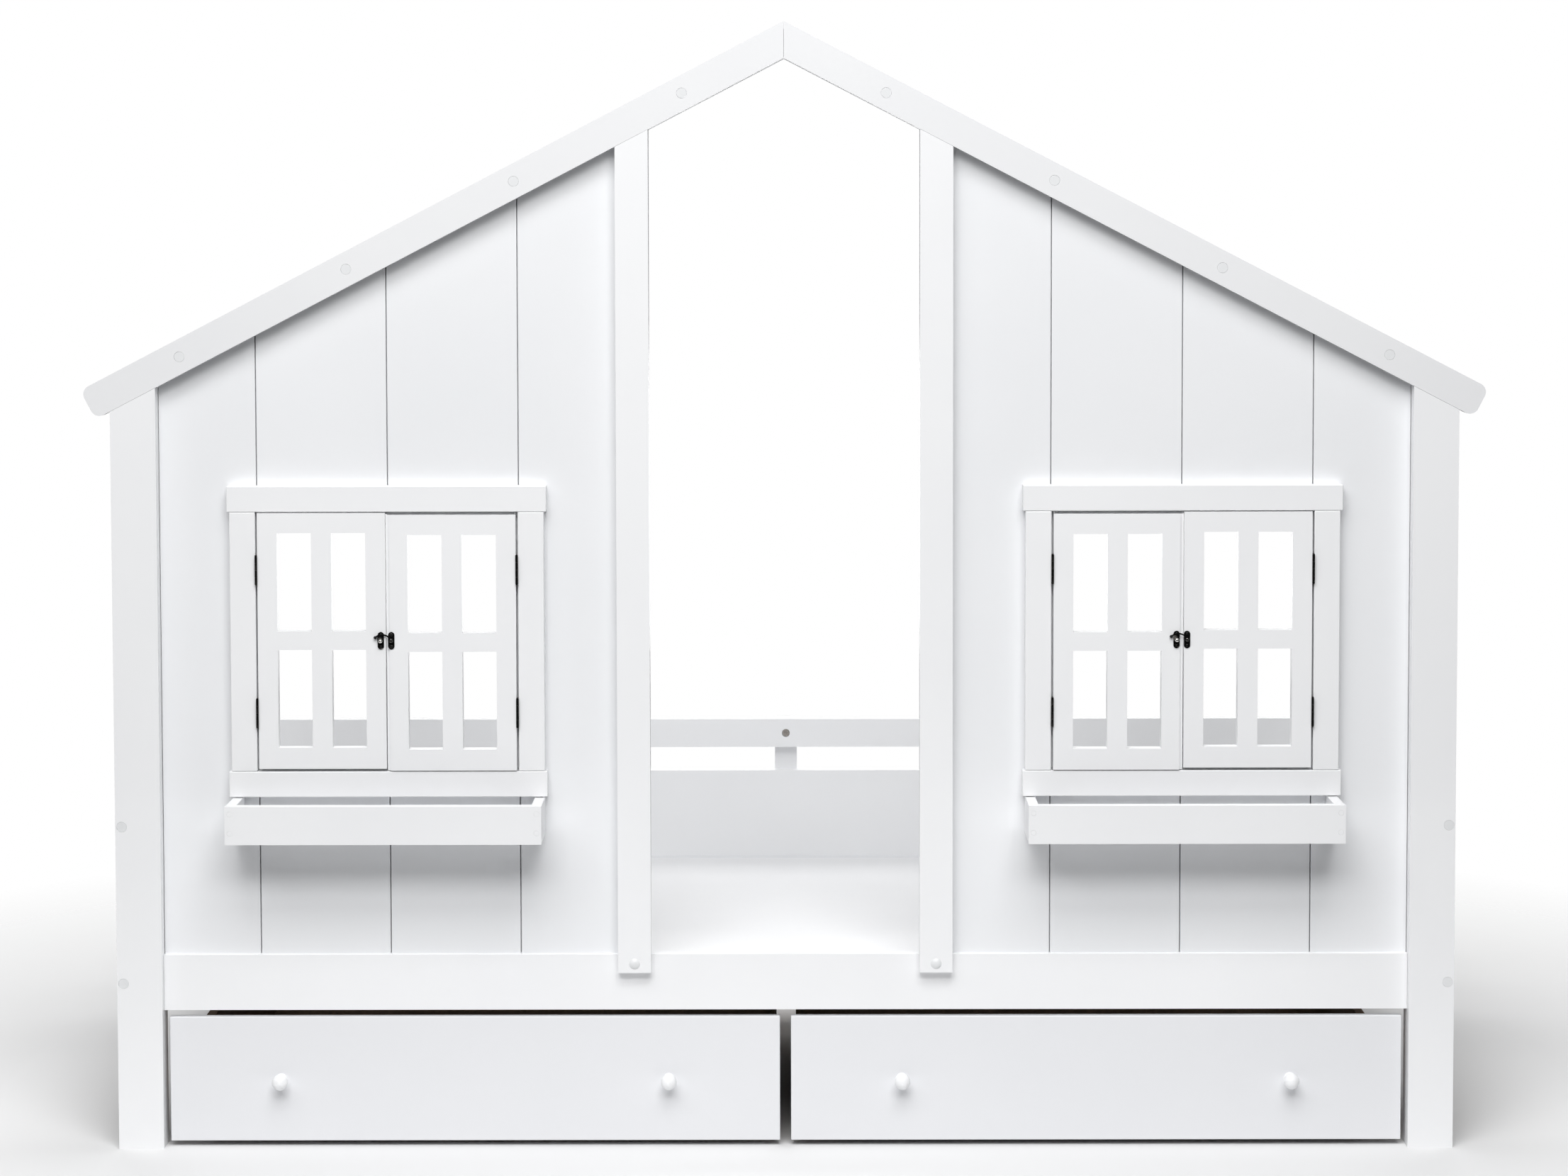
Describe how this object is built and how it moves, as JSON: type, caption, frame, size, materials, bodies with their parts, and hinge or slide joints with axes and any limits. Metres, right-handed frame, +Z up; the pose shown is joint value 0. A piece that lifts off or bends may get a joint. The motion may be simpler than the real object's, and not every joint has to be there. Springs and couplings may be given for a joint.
{
  "type": "house-front children's bed",
  "caption": "Wooden child's bed with a gabled house front, doorway, hinged window shutters, flower boxes, low guarded back and rolling drawers.",
  "frame": {"origin": "on the floor, at the middle of the footprint's width and depth", "axes": "+X to the viewer's right along the bed, +Y from the house front to the back guard rail, +Z up"},
  "size_m": [2.1608, 1.07, 1.7509],
  "materials": {
    "white_lacquer": "satin white lacquer on wood",
    "panel_lacquer": "matt white lacquer on board",
    "drawer_lacquer": "satin off-white lacquer on board",
    "raw_board": "uncoated board",
    "black_iron": "black antique, worn bright on raised edges",
    "zinc": "dull zinc",
    "cap_plastic": "moulded white",
    "wheel_black": "moulded black"
  },
  "bodies": {
    "bed_frame": {"left_front_post": "white_lacquer", "right_front_post": "white_lacquer", "left_back_post": "white_lacquer", "right_back_post": "white_lacquer", "front_rail": "white_lacquer", "back_board": "white_lacquer", "guard_rail": "white_lacquer", "guard_strut": "white_lacquer", "end_rails": "white_lacquer", "left_rafter": "white_lacquer", "right_rafter": "white_lacquer", "backing_rafters": "panel_lacquer", "ridge_plate": "panel_lacquer", "left_door_upright": "white_lacquer", "right_door_upright": "white_lacquer", "left_wall_planks": "panel_lacquer", "right_wall_planks": "panel_lacquer", "wall_battens": "panel_lacquer", "base_ledgers": "panel_lacquer", "base_bearers": "panel_lacquer", "base_boards": "white_lacquer", "left_window_trim": "white_lacquer", "right_window_trim": "white_lacquer", "planter_fronts": "white_lacquer", "planter_ends": "white_lacquer", "planter_floors": "white_lacquer", "planter_plugs": "white_lacquer", "frame_bolts": "zinc", "frame_nuts": "zinc", "cover_caps": "cap_plastic", "fixed_hinge_leaves": "black_iron", "hinge_pins": "black_iron"},
    "left_outer_leaf": {"left_outer_shutter": "white_lacquer", "left_outer_hinge_leaves": "black_iron", "left_latch_strike": "black_iron"},
    "left_inner_leaf": {"left_inner_shutter": "white_lacquer", "left_inner_hinge_leaves": "black_iron", "left_latch_plate": "black_iron"},
    "right_inner_leaf": {"right_inner_shutter": "white_lacquer", "right_inner_hinge_leaves": "black_iron", "right_latch_strike": "black_iron"},
    "right_outer_leaf": {"right_outer_shutter": "white_lacquer", "right_outer_hinge_leaves": "black_iron", "right_latch_plate": "black_iron"},
    "left_hook": {"left_latch_hook": "black_iron"},
    "right_hook": {"right_latch_hook": "black_iron"},
    "left_drawer": {"left_drawer_front": "drawer_lacquer", "left_drawer_box": "raw_board", "left_drawer_floor": "raw_board", "left_drawer_knobs": "white_lacquer", "left_caster_brackets": "zinc"},
    "left_front_wheel_pair": {"left_front_wheels": "wheel_black"},
    "left_rear_wheel_pair": {"left_rear_wheels": "wheel_black"},
    "right_drawer": {"right_drawer_front": "drawer_lacquer", "right_drawer_box": "raw_board", "right_drawer_floor": "raw_board", "right_drawer_knobs": "white_lacquer", "right_caster_brackets": "zinc"},
    "right_front_wheel_pair": {"right_front_wheels": "wheel_black"},
    "right_rear_wheel_pair": {"right_rear_wheels": "wheel_black"}
  },
  "joints": [
    {"name": "left_outer_shutter_hinge", "type": "hinge", "parent": "bed_frame", "child": "left_outer_leaf", "pos_m": [-0.8169, -0.4617, 0.79625], "axis": [0, 0, -1], "range_deg": [0, 170]},
    {"name": "left_inner_shutter_hinge", "type": "hinge", "parent": "bed_frame", "child": "left_inner_leaf", "pos_m": [-0.4141, -0.4617, 0.79625], "axis": [0, 0, 1], "range_deg": [0, 170]},
    {"name": "left_hook_pivot", "type": "hinge", "parent": "left_inner_leaf", "child": "left_hook", "pos_m": [-0.6088, -0.4624, 0.7975], "axis": [0, 1, 0], "range_deg": [0, 90]},
    {"name": "left_drawer_slide", "type": "slide", "parent": "bed_frame", "child": "left_drawer", "axis": [0, -1, 0], "range_m": [0, 0.75]},
    {"name": "left_front_wheels_roll", "type": "hinge", "parent": "left_drawer", "child": "left_front_wheel_pair", "pos_m": [-0.467, -0.38, 0.015], "axis": [1, 0, 0], "continuous": true},
    {"name": "left_rear_wheels_roll", "type": "hinge", "parent": "left_drawer", "child": "left_rear_wheel_pair", "pos_m": [-0.467, 0.32, 0.015], "axis": [1, 0, 0], "continuous": true},
    {"name": "right_outer_shutter_hinge", "type": "hinge", "parent": "bed_frame", "child": "right_outer_leaf", "pos_m": [0.8169, -0.4617, 0.79625], "axis": [0, 0, 1], "range_deg": [0, 170]},
    {"name": "right_inner_shutter_hinge", "type": "hinge", "parent": "bed_frame", "child": "right_inner_leaf", "pos_m": [0.4141, -0.4617, 0.79625], "axis": [0, 0, -1], "range_deg": [0, 170]},
    {"name": "right_hook_pivot", "type": "hinge", "parent": "right_outer_leaf", "child": "right_hook", "pos_m": [0.6222, -0.4624, 0.7975], "axis": [0, 1, 0], "range_deg": [0, 90]},
    {"name": "right_drawer_slide", "type": "slide", "parent": "bed_frame", "child": "right_drawer", "axis": [0, -1, 0], "range_m": [0, 0.75]},
    {"name": "right_front_wheels_roll", "type": "hinge", "parent": "right_drawer", "child": "right_front_wheel_pair", "pos_m": [0.467, -0.38, 0.015], "axis": [1, 0, 0], "continuous": true},
    {"name": "right_rear_wheels_roll", "type": "hinge", "parent": "right_drawer", "child": "right_rear_wheel_pair", "pos_m": [0.467, 0.32, 0.015], "axis": [1, 0, 0], "continuous": true}
  ],
  "couplings": [
    {"joint": "left_front_wheels_roll", "follows": "left_drawer_slide", "rad_per_m": 66.667},
    {"joint": "left_rear_wheels_roll", "follows": "left_drawer_slide", "rad_per_m": 66.667},
    {"joint": "right_front_wheels_roll", "follows": "right_drawer_slide", "rad_per_m": 66.667},
    {"joint": "right_rear_wheels_roll", "follows": "right_drawer_slide", "rad_per_m": 66.667}
  ]
}
